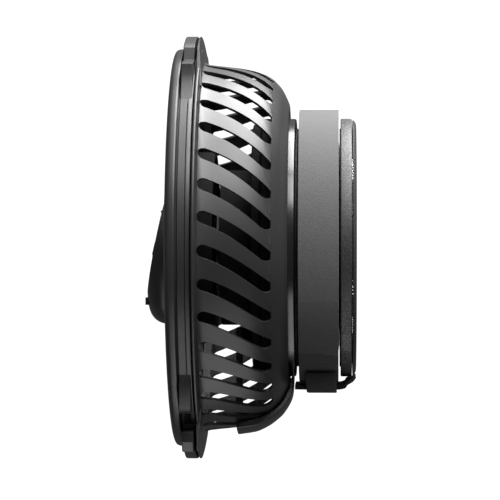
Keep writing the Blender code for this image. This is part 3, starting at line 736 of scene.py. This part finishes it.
def make_saddle(finishes):
    outside = smooth_profile(
        [(-18.2, 56.7), (-13.0, 55.9), (-10.6, 55.0), (-8.1, 53.6), (-5.7, 51.7), (-4.5, 50.5),
         (-3.3, 48.8), (-2.1, 46.6), (-1.5, 44.4), (-1.4, 41.0)], 3,
    )
    against_cage = offset_profile(smooth_profile(CAGE_OUTER, 3), -0.3)
    inside = [profile_at(against_cage, -18.2)]
    inside += [point for point in against_cage if point[0] > -18.2 and point[1] > 43.5]
    section = outside + [(-2.2, 41.0)] + inside[::-1]
    half, steps = math.radians(19.5), 24
    turns = [math.pi + half * (2 * i / steps - 1) for i in range(steps + 1)]
    bm = bmesh.new()
    add_loft(bm, [[around(radius, turn, y) for y, radius in section] for turn in turns])
    make_piece("saddle", bm, finishes["satin"], "pump", ["strap_saddle"], 0.35, 3)


def make_strap(finishes):
    top, thickness, half = -41.2, 1.4, 9.0
    upper = [(-1.0, top), (12.2, top), (14.6, -39.8), (16.3, -39.3), (17.1, -38.6)]
    lower = [(-1.0, top - thickness), (12.4, top - thickness), (14.9, -41.2), (16.5, -40.2), (17.4, -39.0)]
    side = smooth_profile(upper, 6) + smooth_profile(lower, 6)[::-1]
    bm = bmesh.new()
    add_loft(bm, [[(x, y, z) for y, z in side] for x in (-half, half)])
    make_piece("strap", bm, finishes["rubber"], "dry_side", ["retaining_strap"], 0.25, 3)
    clear, channel, width = FOAM_RADIUS + 0.4, half + 0.4, 19.7
    floor, side_bottom, bottom = top - thickness - 0.3, -42.7, -43.5
    right = arc_points(clear, math.pi - math.asin(width / clear), math.pi - math.asin(channel / clear), 8)
    left = [(-x, z) for x, z in reversed(right)]
    outline = right + [(channel, floor), (-channel, floor)] + left
    outline += [(-width, side_bottom), (-channel - 1.0, bottom)]
    outline += [(channel + 1.0, bottom), (width, side_bottom)]
    near = [(x, 1.9 + 0.13 * (right[0][1] - z), z) for x, z in outline]
    bm = bmesh.new()
    add_loft(bm, [near, [(x, 11.6, z) for x, z in outline]])
    make_piece("cradle", bm, finishes["rubber"], "dry_side", ["strap_block"], 0.3, 3)


# Stage, lights and camera


def finish_inner_nodes(finishes):
    """The CAD nodes that stay get their slot's finish."""
    for part in frame["record"]["subparts"]:
        node = frame["nodes"][part["node"]]
        node.data.materials.clear()
        node.data.materials.append(finishes[part["material_slot"]])


def make_stage():
    floor_size, floor_height = 6.0, -0.30
    bpy.ops.mesh.primitive_plane_add(size=floor_size, location=(0.0, 0.0, floor_height))
    floor = bpy.context.object
    floor.name = "floor"
    paper = bpy.data.materials.new("paper")
    paper.use_nodes = True
    shader = paper.node_tree.nodes["Principled BSDF"]
    shader.inputs["Base Color"].default_value = (0.9, 0.9, 0.9, 1.0)
    shader.inputs["Roughness"].default_value = 0.9
    shader.inputs["Emission Color"].default_value = (1.0, 1.0, 1.0, 1.0)
    shader.inputs["Emission Strength"].default_value = 1.0
    floor.data.materials.append(paper)
    floor.visible_diffuse = False
    floor.visible_glossy = False
    world = bpy.data.worlds.new("studio")
    bpy.context.scene.world = world
    world.use_nodes = True
    nodes, links = world.node_tree.nodes, world.node_tree.links
    nodes.clear()
    output = nodes.new("ShaderNodeOutputWorld")
    mix = nodes.new("ShaderNodeMixShader")
    seen = nodes.new("ShaderNodeBackground")
    fill = nodes.new("ShaderNodeBackground")
    path = nodes.new("ShaderNodeLightPath")
    seen.inputs["Color"].default_value = (1.0, 1.0, 1.0, 1.0)
    seen.inputs["Strength"].default_value = 1.1
    fill.inputs["Color"].default_value = (1.0, 1.0, 1.0, 1.0)
    fill.inputs["Strength"].default_value = 0.15
    links.new(path.outputs["Is Camera Ray"], mix.inputs["Fac"])
    links.new(fill.outputs[0], mix.inputs[1])
    links.new(seen.outputs[0], mix.inputs[2])
    links.new(mix.outputs[0], output.inputs["Surface"])


def add_softbox(name, place, size, power):
    """A softbox aimed at the pump's axis, sized (along the axis, across it)."""
    light = bpy.data.lights.new(name, "AREA")
    light.shape = "RECTANGLE"
    light.size, light.size_y = size
    light.energy = power
    made = bpy.data.objects.new(name, light)
    made.location = place
    aim = Vector((-place[0], 0.0, -place[2]))
    made.rotation_euler = aim.to_track_quat("-Z", "Y").to_euler()
    bpy.context.collection.objects.link(made)


def make_lights():
    add_softbox("top_softbox", (-0.10, 0.26, 0.80), (0.56, 0.8), 29.0)
    add_softbox("front_softbox", (0.62, 0.26, 0.80), (0.56, 0.5), 13.0)
    add_softbox("low_softbox", (0.25, 0.05, -0.80), (0.5, 1.1), 5.0)


def make_camera():
    """A camera beside the pump, level with its axis, that takes in VIEW_WIDTH at the axis."""
    camera = bpy.data.cameras.new("camera")
    made = bpy.data.objects.new("camera", camera)
    bpy.context.collection.objects.link(made)
    camera.sensor_width = 36.0
    camera.lens = camera.sensor_width * VIEW_POINT[0] / VIEW_WIDTH
    camera.clip_start = 0.05
    made.location = Vector(VIEW_POINT) * MM
    made.rotation_euler = (Vector(VIEW_AIM) * MM - made.location).to_track_quat("-Z", "Y").to_euler()
    bpy.context.scene.camera = made
    bpy.context.scene.view_settings.view_transform = "Standard"


def main():
    finishes = make_finishes()
    make_camera()
    make_cage(finishes)
    make_cover(finishes)
    make_grille(finishes)
    make_nose(finishes)
    make_wet_side(finishes)
    make_propeller(finishes)
    make_mount(finishes)
    make_saddle(finishes)
    make_strap(finishes)
    finish_inner_nodes(finishes)
    make_stage()
    make_lights()


main()
